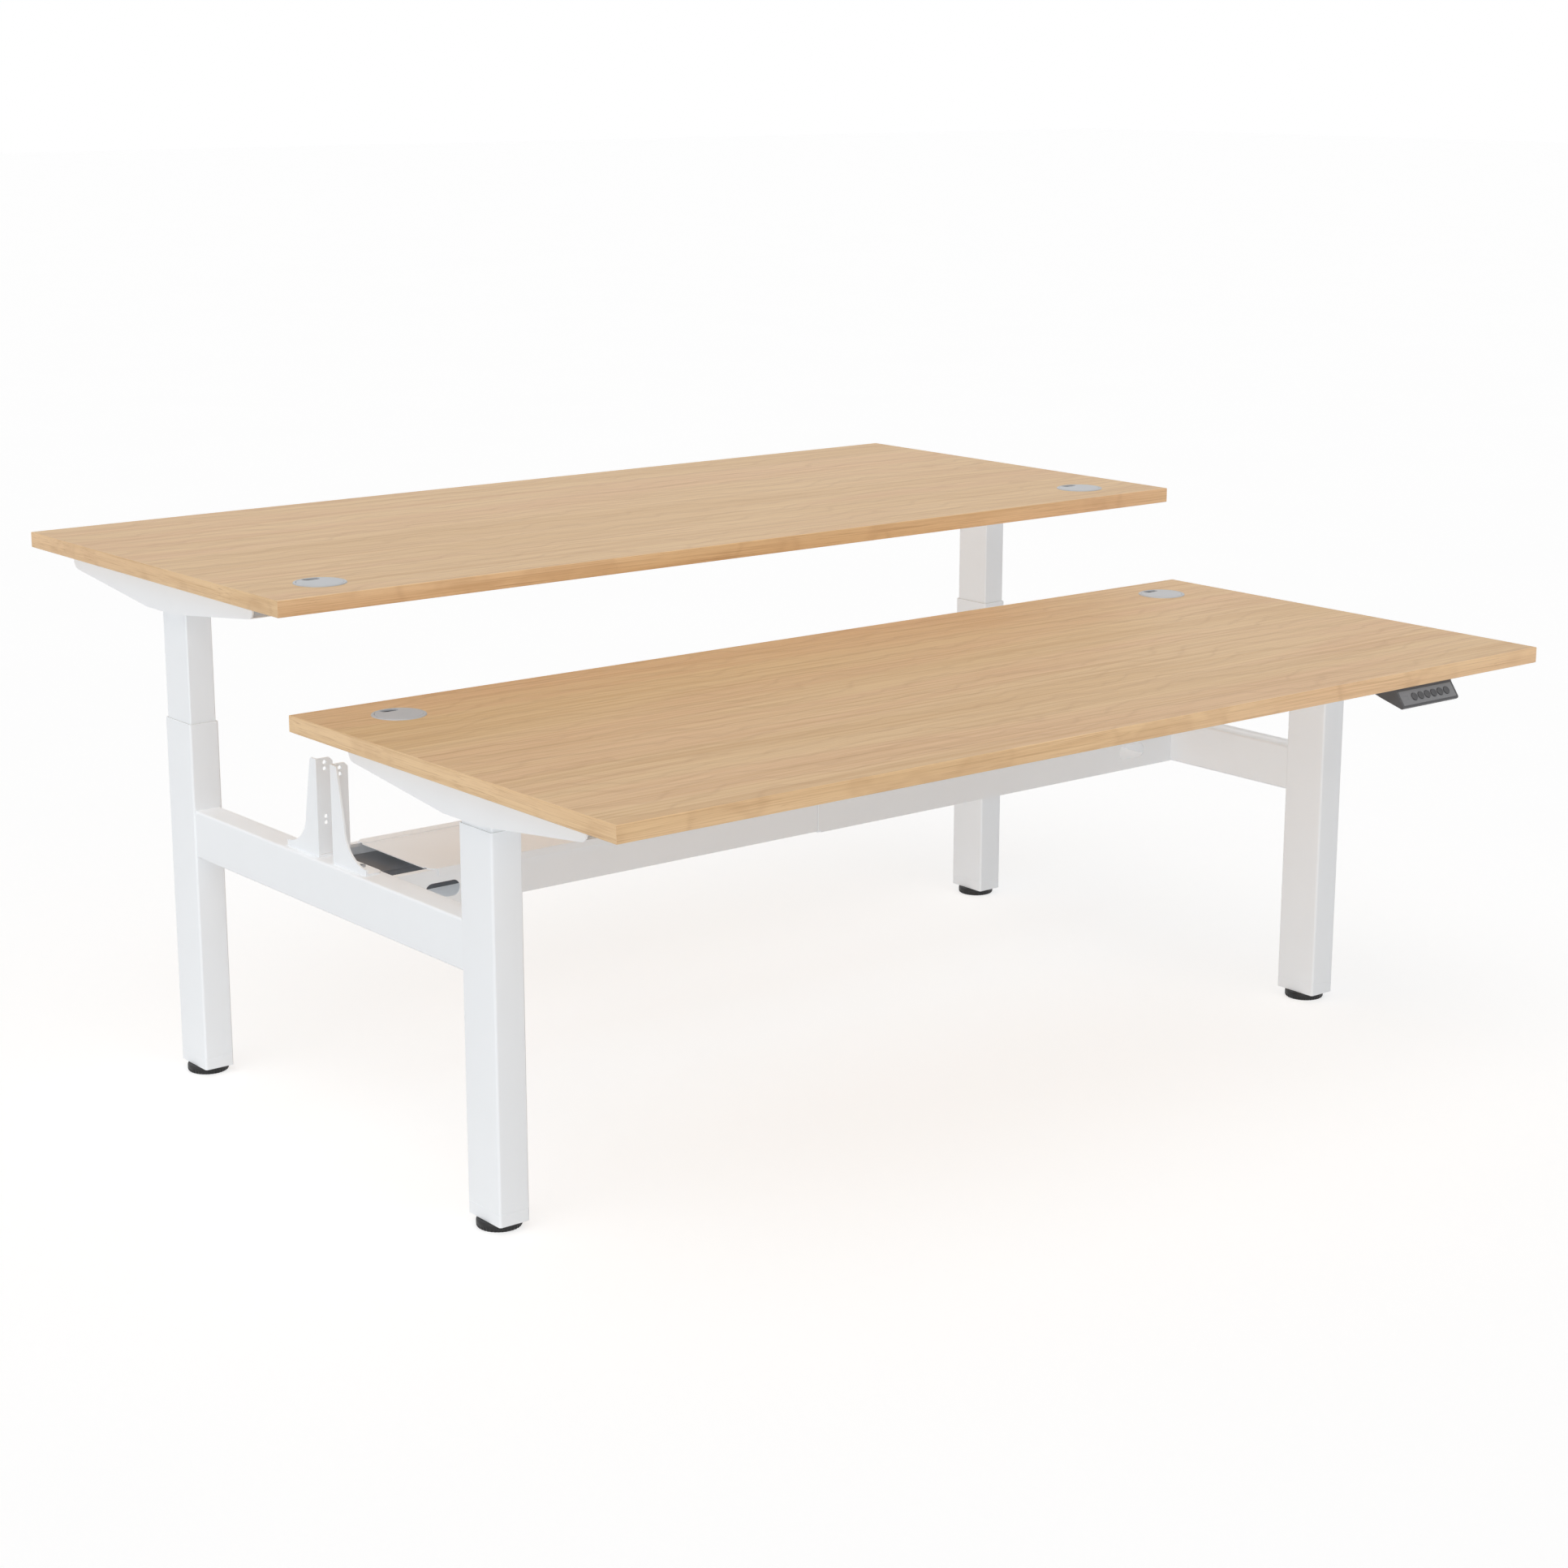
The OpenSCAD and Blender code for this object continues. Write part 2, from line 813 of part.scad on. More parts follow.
module edge_bands() {
    color(lipping)
        translate([0, -(mid_y + top_dep / 2), under_front]) {
            for (s = [-1, 1]) {
                translate([-top_len / 2, s * (top_dep / 2 - band_t / 2) - band_t / 2, 0])
                    cube([top_len, band_t, top_t]);
                translate([s * (top_len / 2 - band_t / 2) - band_t / 2, -top_dep / 2 + band_t + seam, 0])
                    cube([band_t, top_dep - 2 * (band_t + seam), top_t]);
            }
        }
}

// Y-Z outline of an arm, with Z = 0 at the worktop's underside
function arm_points(lift, spread, r) = concat(
    [[-arm_len / 2 - spread, arm_splay * spread], [-arm_len / 2 - spread, -arm_end + lift + r]],
    r > 0 ? arc(-arm_len / 2 + r, -arm_end + r, r, r, 190, 260, 7) : [],
    [[-arm_flat / 2, -arm_mid + lift], [arm_flat / 2, -arm_mid + lift]],
    r > 0 ? arc(arm_len / 2 - r, -arm_end + r, r, r, 280, 350, 7) : [],
    [[arm_len / 2 + spread, -arm_end + lift + r], [arm_len / 2 + spread, arm_splay * spread]]
);

// Folded channel that carries the worktop, with a hole for the inner tube
module support_arm() {
    difference() {
        along_x(-arm_w / 2, arm_w / 2)
            polygon(arm_points(0, 0, arm_r));
        along_x(-arm_w / 2 + arm_t, arm_w / 2 - arm_t)
            polygon(arm_points(arm_t, cut, 0));
        for (s = [-1, 1])
            translate([0, s * (arm_len / 2), -arm_end / 2])
                cube([arm_w - 2 * arm_t, 2 * arm_r, arm_end * 2], center = true);
        translate([0, 0, -arm_mid - cut])
            round_bar(slider_w + 2 * gap, slider_d + 2 * gap, slider_r, 2 * arm_t + cut);
        for (sx = [-1, 1], sy = [-1, 1])
            translate([sx * drive_bolt_x, sy * drive_bolt_y, -arm_mid - cut])
                cylinder(r = drive_bolt_d / 2 + screw_fit, h = 2 * arm_t + cut, $fn = small);
    }
    for (s = [-1, 1], e = [-1, 1])
        difference() {
            translate([s * lip_x - lip_w / 2, e * (lip_from + lip_len / 2) - lip_len / 2, -arm_t])
                cube([lip_w, lip_len, arm_t]);
            for (y = arm_screw_at)
                translate([s * lip_x, y, -arm_t - cut])
                    cylinder(r = wood_d / 2 + screw_fit, h = arm_t + 2 * cut, $fn = small);
        }
}

module support_arms() {
    color(white)
        for (s = [-1, 1])
            translate([s * col_x, -col_y, under_front])
                support_arm();
}

// Inner tube with the mounting plate that rests inside the arm
module inner_tubes() {
    top_z = under_front - arm_floor;
    color(white)
        at_columns_front() {
            translate([0, 0, top_z - slider_len])
                round_tube(slider_w, slider_d, slider_r, inner_wall, slider_len);
            translate([0, 0, top_z])
                difference() {
                    round_bar(plate_w, plate_len, slider_r, plate_t);
                    translate([0, 0, -cut])
                        cylinder(d = plate_hole_d, h = plate_t + 2 * cut, $fn = fine);
                    for (sx = [-1, 1], sy = [-1, 1])
                        translate([sx * drive_bolt_x, sy * drive_bolt_y, -cut])
                            cylinder(r = drive_bolt_d / 2 + screw_fit, h = plate_t + 2 * cut, $fn = small);
                }
        }
}

// Gearbox and motor lying in each arm, with the bolts that hold them
module drive_units() {
    gear_z = under_front - gear_floor;
    gear_h = gear_floor - gear_top;
    bolt_len = arm_t + plate_t + drive_bolt_bite;
    color(steel)
        for (s = [-1, 1])
            translate([s * col_x, -col_y, 0]) {
                difference() {
                    union() {
                        translate([0, 0, gear_z])
                            round_bar(gear_foot_w, gear_len, gear_r, gear_foot_h);
                        translate([0, 0, gear_z + gear_foot_h])
                            round_bar(gear_w, gear_len, gear_r, gear_h - gear_foot_h);
                    }
                    translate([0, 0, gear_z - cut])
                        cylinder(r = spindle_d / 2 + fit, h = socket_dep + cut, $fn = fine);
                    for (sx = [-1, 1], sy = [-1, 1])
                        translate([sx * drive_bolt_x, sy * drive_bolt_y, gear_z - cut])
                            cylinder(r = drive_bolt_d / 2 + fit, h = drive_bolt_bite + 2 * cut, $fn = small);
                }
                translate([0, -gear_len / 2, under_front - motor_z])
                    rotate([90, 0, 0])
                        cylinder(d = motor_d, h = motor_len, $fn = fine);
                for (sx = [-1, 1], sy = [-1, 1])
                    translate([sx * drive_bolt_x, sy * drive_bolt_y, under_front - arm_mid])
                        bolt(drive_bolt_d, bolt_len);
            }
}

module top_rails() {
    color(white)
        for (e = [-1, 1])
            difference() {
                translate([-rail_len / 2, -col_y + e * rail_off, under_front - rail_h / 2])
                    rotate([90, 0, 90])
                        round_tube(rail_w, rail_h, rail_r, rail_wall, rail_len);
                for (x = rail_screw_at)
                    translate([x, -col_y + e * rail_off, under_front - rail_h - cut])
                        cylinder(r = wood_d / 2 + screw_fit, h = rail_h + 2 * cut, $fn = small);
            }
}

// Control box with fixing tabs and a bare mains inlet at its right end
module control_box() {
    x1 = ctrl_x + ctrl_len;
    inlet_z = under_front - ctrl_h / 2;
    color(dark)
        difference() {
            union() {
                translate([ctrl_x + ctrl_len / 2, -col_y, under_front - ctrl_h])
                    round_bar(ctrl_len, ctrl_dep, 5, ctrl_h);
                translate([ctrl_x - ctrl_tab, -col_y - ctrl_dep / 2, under_front - ctrl_tab_t])
                    cube([ctrl_len + 2 * ctrl_tab, ctrl_dep, ctrl_tab_t]);
            }
            difference() {
                translate([x1 - inlet_dep, -col_y - inlet_w / 2, inlet_z - inlet_h / 2])
                    cube([inlet_dep + cut, inlet_w, inlet_h]);
                for (i = [-1, 0, 1])
                    translate([x1 - inlet_dep - cut, -col_y + i * inlet_pin_gap, inlet_z])
                        rotate([0, 90, 0])
                            cylinder(d = inlet_pin_d, h = inlet_dep - ctrl_wall, $fn = 16);
            }
            for (p = ctrl_screws)
                translate([p[0], p[1], under_front - ctrl_tab_t - cut])
                    cylinder(r = wood_d / 2 + screw_fit, h = ctrl_tab_t + 2 * cut, $fn = small);
        }
}

// Stands at the handset's middle, on the worktop's user edge at its underside, with +Y outwards
module at_handset() {
    translate([end_x - hs_x, -(mid_y + top_dep), under_front])
        rotate([0, 0, 180])
            children();
}

// Stands on the middle of the handset's face, with +Z out of it and +Y up it
module at_face() {
    at_handset()
        translate([0, face_y + face_dy / 2, -face_z - face_dz / 2])
            rotate([face_lean - 90, 0, 0])
                rotate([0, 0, 180])
                    children();
}

function handset_points() = [
    [-hs_back, 0],
    [face_y - 1.5, 0],
    [face_y, -face_z],
    [face_y + face_dy, -face_z - face_dz],
    [face_y + face_dy, -face_z - face_dz - chin / 2],
    [face_y + face_dy - hs_r, -face_z - face_dz - chin],
    [-hs_back * 0.6, -hs_tail_h - 6],
    [-hs_back + hs_r, -hs_tail_h],
    [-hs_back, -hs_tail_h + hs_r]
];

module at_buttons() {
    for (i = [0:btn_count - 1])
        at_face()
            translate([(i - (btn_count - 1) / 2) * btn_pitch + btn_shift, 0, 0])
                children();
}

module handset_body() {
    color(dark)
        difference() {
            at_handset()
                along_x(-hs_w / 2, hs_w / 2)
                    polygon(handset_points());
            at_face()
                translate([-face_w / 2 - gap, -face_len / 2 + face_rim - gap, -face_t])
                    cube([face_w + 2 * gap, face_len - 2 * (face_rim - gap), face_t + cut]);
            at_buttons()
                translate([0, 0, -btn_pocket])
                    cylinder(d = btn_d + 2 * gap, h = btn_pocket, $fn = small);
            for (e = [-1, 1])
                at_handset()
                    translate([e * hs_screw_x, hs_screw_y, -4]) {
                        translate([0, 0, -cut])
                            cylinder(r = wood_d / 2 + screw_fit, h = 4 + 2 * cut, $fn = small);
                        translate([0, 0, -40])
                            cylinder(d = wood_head_d + 1, h = 40, $fn = small);
                    }
        }
}

module handset_face() {
    color("gray")
        difference() {
            at_face()
                translate([-face_w / 2, -face_len / 2 + face_rim, -face_t])
                    cube([face_w, face_len - 2 * face_rim, face_t]);
            at_face()
                translate([screen_x - screen_w / 2, -screen_h / 2, -screen_sink])
                    cube([screen_w, screen_h, face_t]);
            at_buttons()
                translate([0, 0, -face_t - cut])
                    cylinder(d = btn_d + 2 * gap, h = face_t + 2 * cut, $fn = small);
        }
}

// Button number i of the front handset: a skirted plunger with a domed edge
module button(i) {
    color(black)
        at_face()
            translate([(i - (btn_count - 1) / 2) * btn_pitch + btn_shift, 0, 0]) {
                translate([0, 0, btn_out - btn_h])
                    cylinder(d = btn_d, h = btn_h - btn_bevel, $fn = small);
                translate([0, 0, btn_out - btn_bevel])
                    cylinder(d1 = btn_d, d2 = btn_d - 2 * btn_bevel, h = btn_bevel, $fn = small);
            }
}

// Fixed ring of a grommet: flange on the worktop, sleeve in its hole and a ledge for the cap
module grommet_sleeves() {
    seat_r = cap_d / 2 + gap;
    out_r = grom_hole_d / 2 - gap;
    ledge_z = grom_lip - cap_t - gap;
    color(zinc)
        at_grommets()
            rotate_extrude($fn = fine)
                polygon([
                    [seat_r, grom_lip],
                    [grom_d / 2 - grom_lip, grom_lip],
                    [grom_d / 2, 0],
                    [out_r, 0],
                    [out_r, -sleeve_dep],
                    [out_r - sleeve_wall, -sleeve_dep],
                    [out_r - sleeve_wall, ledge_z - ledge_t],
                    [seat_r - ledge_w, ledge_z - ledge_t],
                    [seat_r - ledge_w, ledge_z],
                    [seat_r, ledge_z]
                ]);
}

// Turning cap of one grommet, drawn at the origin with its notch towards +Y
module grommet_cap() {
    notch_y = cap_d / 2 - notch_dep;
    difference() {
        translate([0, 0, grom_lip - cap_t])
            cylinder(d = cap_d, h = cap_t, $fn = fine);
        for (s = [-1, 1])
            translate([s * (notch_w / 2 - notch_r), notch_y + notch_r, -cap_t])
                cylinder(r = notch_r, h = 3 * cap_t, $fn = small);
        translate([-notch_w / 2 + notch_r, notch_y, -cap_t])
            cube([notch_w - 2 * notch_r, 2 * notch_dep, 3 * cap_t]);
        translate([-notch_w / 2, notch_y + notch_r, -cap_t])
            cube([notch_w, 2 * notch_dep, 3 * cap_t]);
    }
}

module grommet_cap_at(sx, sy) {
    color(zinc)
        translate([sx * (end_x - grom_x), sy * (mid_y + grom_y), sy < 0 ? front_h : rear_h])
            grommet_cap();
}

// Lifting spindle with its thrust collar, for the front desk's left or right column
module spindle(s) {
    top_z = under_front - gear_floor;
    low_z = spindle_low + front_lift;
    color(zinc)
        translate([s * col_x, -col_y, 0]) {
            translate([0, 0, low_z])
                cylinder(d = spindle_d, h = top_z + socket_dep - gap - low_z, $fn = fine);
            translate([0, 0, top_z - gap - bearing_h])
                cylinder(d = bearing_d, h = bearing_h, $fn = fine);
        }
}

module wood_screws() {
    color(zinc)
        for (p = all_screws)
            translate([p[0], p[1], under_front - p[2]])
                wood_screw(p[2]);
}

// ---- Nodes ----

outer_tubes_front();
outer_tubes_rear();
foot_caps();
glide_bushes();
nut_carriers();
side_beam_left();
side_beam_right();
frame_bolts();
tray_half_left();
tray_half_right();
power_box();
screen_brackets();
worktop();  // worktop_front
edge_bands();  // edge_bands_front
support_arms();  // support_arms_front
inner_tubes();  // inner_tubes_front
drive_units();  // drive_units_front
top_rails();  // top_rails_front
control_box();  // control_box_front
handset_body();  // handset_body_front
handset_face();  // handset_face_front
grommet_sleeves();  // grommet_sleeves_front
wood_screws();  // wood_screws_front
rear_desk() worktop();  // worktop_rear
rear_desk() edge_bands();  // edge_bands_rear
rear_desk() support_arms();  // support_arms_rear
rear_desk() inner_tubes();  // inner_tubes_rear
rear_desk() drive_units();  // drive_units_rear
rear_desk() top_rails();  // top_rails_rear
rear_desk() control_box();  // control_box_rear
rear_desk() handset_body();  // handset_body_rear
rear_desk() handset_face();  // handset_face_rear
rear_desk() grommet_sleeves();  // grommet_sleeves_rear
rear_desk() wood_screws();  // wood_screws_rear
spindle(-1);  // spindle_front_left
spindle(1);  // spindle_front_right
rear_desk() spindle(1);  // spindle_rear_left
rear_desk() spindle(-1);  // spindle_rear_right
grommet_cap_at(-1, -1);  // grommet_cap_front_left
grommet_cap_at(1, -1);  // grommet_cap_front_right
grommet_cap_at(-1, 1);  // grommet_cap_rear_left
grommet_cap_at(1, 1);  // grommet_cap_rear_right
for (i = [0:btn_count - 1]) {
    button(i);
    rear_desk() button(i);
}
foot(-1, -1);  // foot_front_left
foot(1, -1);  // foot_front_right
foot(-1, 1);  // foot_rear_left
foot(1, 1);  // foot_rear_right
tray_lid_left();
tray_lid_right();
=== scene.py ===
# %% [markdown]
# # A bench of two height adjustable desks
# Two worktops stand back to back on four telescopic columns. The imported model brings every
# part in its real place and in metres. This lesson gives those parts their finishes, rounds
# the edges that a press brake or a router would round, and rebuilds the small moulded parts
# as smooth surfaces.

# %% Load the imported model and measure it
import json
import math

import bmesh
import bpy
import numpy as np
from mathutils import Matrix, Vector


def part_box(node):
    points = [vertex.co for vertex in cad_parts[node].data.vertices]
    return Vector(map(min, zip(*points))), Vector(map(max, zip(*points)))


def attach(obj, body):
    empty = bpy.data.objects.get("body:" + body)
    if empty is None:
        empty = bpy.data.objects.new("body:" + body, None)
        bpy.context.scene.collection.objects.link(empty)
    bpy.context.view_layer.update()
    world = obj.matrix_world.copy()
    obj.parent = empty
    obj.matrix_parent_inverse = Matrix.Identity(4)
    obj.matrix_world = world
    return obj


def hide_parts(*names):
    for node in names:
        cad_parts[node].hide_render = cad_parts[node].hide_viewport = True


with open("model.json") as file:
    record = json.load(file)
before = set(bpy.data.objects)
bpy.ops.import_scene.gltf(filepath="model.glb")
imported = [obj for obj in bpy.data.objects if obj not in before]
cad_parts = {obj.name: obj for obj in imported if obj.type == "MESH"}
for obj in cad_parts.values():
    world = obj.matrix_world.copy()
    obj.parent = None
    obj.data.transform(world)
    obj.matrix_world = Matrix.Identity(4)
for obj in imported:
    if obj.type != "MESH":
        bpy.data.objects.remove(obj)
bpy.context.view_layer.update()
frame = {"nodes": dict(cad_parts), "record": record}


# %% [markdown]
# ## Camera
# The view is from the front left, a little above the worktops. A camera looks along its own
# minus Z, so its three axes are worked out from a heading, a pitch and a tiny roll, and put
# into its matrix. That keeps the perspective exact, which a track-to constraint would not.

# %% Camera axes from heading, pitch and roll
from mathutils import Matrix, Vector

HEADING, PITCH, ROLL = 0.677431, -0.241276, 0.000629
EYE = Vector((-2.97055, -3.71179, 1.59218))
LENS_MM = 68.898

ahead = Vector((math.sin(HEADING) * math.cos(PITCH), math.cos(HEADING) * math.cos(PITCH), math.sin(PITCH)))
level_right = Vector((math.cos(HEADING), -math.sin(HEADING), 0.0))
level_up = level_right.cross(ahead)
right = level_right * math.cos(ROLL) + level_up * math.sin(ROLL)
up = level_up * math.cos(ROLL) - level_right * math.sin(ROLL)

lens = bpy.data.cameras.new("camera")
lens.sensor_width = 36.0
lens.lens = LENS_MM
lens.clip_end = 200.0
camera = bpy.data.objects.new("camera", lens)
bpy.context.scene.collection.objects.link(camera)
camera.matrix_world = Matrix((
    (right.x, up.x, -ahead.x, EYE.x),
    (right.y, up.y, -ahead.y, EYE.y),
    (right.z, up.z, -ahead.z, EYE.z),
    (0, 0, 0, 1)))
bpy.context.scene.camera = camera
print("camera stands at", tuple(round(v, 3) for v in EYE))


# %% [markdown]
# ## Shader maths as Python
# A material is a graph of nodes. Wiring it by hand is slow to read, so a small class wraps a
# socket and lets sums and products be written as Python. One method makes any other node.

# %% A socket that does arithmetic
class Wire:
    """A node's output. Python's operators on it add Math nodes."""

    def __init__(self, graph, socket):
        self.graph = graph
        self.socket = socket

    def _math(self, operation, *values):
        return self.graph.node("ShaderNodeMath", {"operation": operation}, dict(enumerate(values)))["Value"]

    def __add__(self, other):
        return self._math("ADD", self, other)

    def __radd__(self, other):
        return self._math("ADD", other, self)

    def __sub__(self, other):
        return self._math("SUBTRACT", self, other)

    def __rsub__(self, other):
        return self._math("SUBTRACT", other, self)

    def __mul__(self, other):
        return self._math("MULTIPLY", self, other)

    def __rmul__(self, other):
        return self._math("MULTIPLY", other, self)

    def __pow__(self, other):
        return self._math("POWER", self, other)

    def __gt__(self, other):
        return self._math("GREATER_THAN", self, other)

    def __lt__(self, other):
        return self._math("LESS_THAN", self, other)

    def clamped(self):
        return self.graph.node("ShaderNodeClamp", {}, {"Value": self})["Result"]


# %% A material's graph
def srgb(red, green, blue):
    """A colour as seen on screen, 0 to 255, turned into the linear values that a shader wants."""
    seen = np.array([red, green, blue]) / 255.0
    linear = np.where(seen <= 0.04045, seen / 12.92, ((seen + 0.055) / 1.055) ** 2.4)
    return tuple(float(v) for v in linear) + (1.0,)


class Graph:
    """One material and the nodes that feed its Principled shader."""

    def __init__(self, name, roughness, metallic=0.0, coat=0.0, coat_roughness=0.03, specular=0.5):
        self.material = bpy.data.materials.new(name)
        self.material.use_nodes = True
        self.tree = self.material.node_tree
        self.shader = self.tree.nodes["Principled BSDF"]
        self.shader.inputs["Roughness"].default_value = roughness
        self.shader.inputs["Metallic"].default_value = metallic
        self.shader.inputs["Coat Weight"].default_value = coat
        self.shader.inputs["Coat Roughness"].default_value = coat_roughness
        self.shader.inputs["Specular IOR Level"].default_value = specular

    def node(self, kind, settings, inputs):
        """Adds a node with its settings, then a value or a Wire on each socket. Returns its outputs by name."""
        made = self.tree.nodes.new(kind)
        for key, value in settings.items():
            if key == "stops":
                self._set_stops(made.color_ramp, value)
            else:
                setattr(made, key, value)
        for key, value in inputs.items():
            if isinstance(value, Wire):
                self.tree.links.new(value.socket, made.inputs[key])
            else:
                made.inputs[key].default_value = value
        return {out.name: Wire(self, out) for out in made.outputs if out.enabled}

    def _set_stops(self, ramp, stops):
        while len(ramp.elements) < len(stops):
            ramp.elements.new(1.0)
        for element, (place, colour) in zip(ramp.elements, stops):
            element.position = place
            element.color = colour

    def place(self, scale=(1.0, 1.0, 1.0), shift=(0.0, 0.0, 0.0)):
        """The point being shaded, in metres on the object, stretched for a pattern."""
        point = self.node("ShaderNodeTexCoord", {}, {})["Object"]
        return self.stretch(point, scale, shift)

    def stretch(self, point, scale, shift):
        """A point scaled and then moved, so that a pattern comes out long, thin or elsewhere."""
        mapped = self.node("ShaderNodeMapping", {}, {"Vector": point, "Scale": scale, "Location": shift})
        return mapped["Vector"]

    def axes(self):
        """X, Y and Z of the point being shaded, as three wires."""
        point = self.node("ShaderNodeTexCoord", {}, {})["Object"]
        out = self.node("ShaderNodeSeparateXYZ", {}, {"Vector": point})
        return out["X"], out["Y"], out["Z"]

    def noise(self, where, size, detail=2.0, rough=0.5):
        """Soft random values, about 0 to 1, with lumps of 1/size metres."""
        return self.node("ShaderNodeTexNoise", {}, {"Vector": where, "Scale": size, "Detail": detail,
                                                    "Roughness": rough})["Fac"]

    def blend(self, share, first, second):
        """Mixes two colours; share is 0 for the first and 1 for the second."""
        return self.node("ShaderNodeMix", {"data_type": "RGBA"}, {0: share, 6: first, 7: second})["Result"]

    def ramp(self, value, stops):
        return self.node("ShaderNodeValToRGB", {"stops": stops}, {"Fac": value})["Color"]

    def relief(self, height, depth, strength=1.0):
        """Feeds a height in 0..1 to the shader's normal, as bumps of that depth in metres."""
        bump = self.node("ShaderNodeBump", {}, {"Height": height, "Distance": depth, "Strength": strength})
        self.tree.links.new(bump["Normal"].socket, self.shader.inputs["Normal"])

    def feed(self, socket, value):
        if isinstance(value, Wire):
            self.tree.links.new(value.socket, self.shader.inputs[socket])
        else:
            self.shader.inputs[socket].default_value = value
        return self


# %% [markdown]
# ## Wood for the worktops
# The real top is a chipboard core under a printed beech paper sealed in melamine. The print
# has long straight grain along the desk, a slow drift of pinkish and yellow, and short dark pores.
# Each is one noise stretched hard along X: real grain lines run for a metre but are a
# millimetre wide, so X is squeezed about a hundred times more than Y.

# %% Beech laminate
def beech(name, shift, tones, grain_along="X"):
    """Broad drift + cathedral curves + two sizes of line + pores, from noise stretched along the grain."""
    wood = Graph(name, roughness=0.42, specular=0.35)
    pale, tan, rosy, line, dark = (srgb(*tone) for tone in tones)
    x, y, z = wood.axes()
    along, across = (x, y) if grain_along == "X" else (y, x)
    wander = wood.noise(wood.place((0.9, 3.0, 3.0), shift), 1.0, 2.0)
    bent = wood.node("ShaderNodeCombineXYZ", {}, {"X": along, "Y": across + wander * 0.03, "Z": z})["Vector"]

    def stretched(stretch, squeeze, detail, rough=0.5):
        """Noise whose lumps are 1/stretch metres long and 1/squeeze metres wide."""
        return wood.noise(wood.stretch(bent, (stretch, squeeze, squeeze), shift), 1.0, detail, rough)

    drift = stretched(0.7, 7.0, 2.0)
    streaks = stretched(0.8, 42.0, 3.0, 0.6)
    lines = stretched(1.6, 170.0, 4.0, 0.7)
    hairs = stretched(5.0, 620.0, 2.0, 0.6)
    pores = stretched(34.0, 900.0, 2.0)
    curves = {"Vector": bent, "Scale": 7.0, "Distortion": 12.0, "Detail": 3.0, "Detail Scale": 0.8}
    rings = wood.node("ShaderNodeTexWave", {"wave_type": "BANDS", "bands_direction": "Y"}, curves)["Fac"]
    base = wood.ramp(drift, [(0.34, tan), (0.48, pale), (0.58, rosy), (0.70, pale)])
    streaked = wood.blend(((streaks - 0.50) * 2.6).clamped(), base, line)
    lined = wood.blend(((lines - 0.47) * 3.0).clamped(), streaked, line)
    haired = wood.blend(((hairs - 0.52) * 2.6).clamped(), lined, dark)
    ringed = wood.blend((rings ** 8.0) * 0.20, haired, dark)
    flecked = wood.blend((pores > 0.67) * 0.25, ringed, dark)
    wood.feed("Base Color", flecked)
    wood.feed("Roughness", 0.38 + lines * 0.12)
    wood.relief(lines * 0.6 + (pores < 0.67) * 0.4, 0.00006, 0.6)
    return wood.material


# pale, tan, rosy, the lines, and the darkest flecks
TOP_TONES = [(229, 194, 146), (222, 185, 135), (227, 187, 142), (203, 159, 109), (178, 131, 86)]
# the two lipping rows are lighter than the top's: painted light on the upright edges, lifted more on the long
# sides than on the short ends
EDGE_TONES_PAINTED_LIGHT = [(246, 209, 164), (240, 203, 155), (243, 203, 160), (219, 178, 131), (192, 148, 106)]
END_TONES_PAINTED_LIGHT = [(236, 203, 159), (230, 196, 150), (233, 197, 154), (211, 173, 127), (186, 145, 104)]
tops = {"front": beech("beech_front", (0.0, 0.0, 0.0), TOP_TONES),
        "rear": beech("beech_rear", (3.7, 1.9, 0.4), TOP_TONES)}
# the lipping's lighter tones are painted light for its upright faces
lipping = beech("beech_lipping_long", (7.1, 4.3, 2.2), EDGE_TONES_PAINTED_LIGHT)
end_lipping = beech("beech_lipping_short", (5.3, 8.1, 1.2), END_TONES_PAINTED_LIGHT, "Y")
print("wood materials:", [m.name for m in tops.values()], lipping.name, end_lipping.name)


# %% [markdown]
# ## Powder coated steel
# The frame is steel tube and folded sheet under a white powder coat. The coat is baked paint:
# slightly glossy, with a very fine orange peel that softens every reflection. A bump of a few
# microns at a millimetre's scale makes it, plus a faint drift in roughness.

# %% White powder coat
def powder(name, shade, roughness):
    """White paint with orange peel: two noises, 1.4 mm and 4 mm wide."""
    paint = Graph(name, roughness=roughness, specular=0.45)
    fine = paint.noise(paint.place(), 700.0, 2.0)
    broad = paint.noise(paint.place(), 14.0, 3.0)
    tint = paint.blend(broad, srgb(shade, shade + 3, shade + 6), srgb(shade - 3, shade, shade + 3))
    paint.feed("Base Color", tint)
    paint.feed("Roughness", roughness - 0.05 + broad * 0.12)
    paint.relief(fine, 0.00004, 0.5)
    return paint.material


white = powder("white_powder_coat", 246, 0.38)
print("made", white.name)


# %% [markdown]
# ## Plated steel, cast housings and plastics
# Zinc plating is a metal with a bluish, lightly mottled surface. A cast gearbox is duller and
# grainier. Moulded plastics are dark and carry a spark-eroded texture of fine dimples, which a
# cell noise gives better than smooth noise.

# %% Metals and plastics
def metal(name, colour, roughness, grain):
    """Metal with mottling in its roughness and colour."""
    steel = Graph(name, roughness=roughness, metallic=1.0)
    mottle = steel.noise(steel.place(), grain, 4.0, 0.6)
    tone = steel.blend(mottle, srgb(*colour), srgb(*[c - 34 for c in colour]))
    steel.feed("Base Color", tone)
    steel.feed("Roughness", roughness - 0.1 + mottle * 0.25)
    steel.relief(mottle, 0.00005, 0.4)
    return steel.material


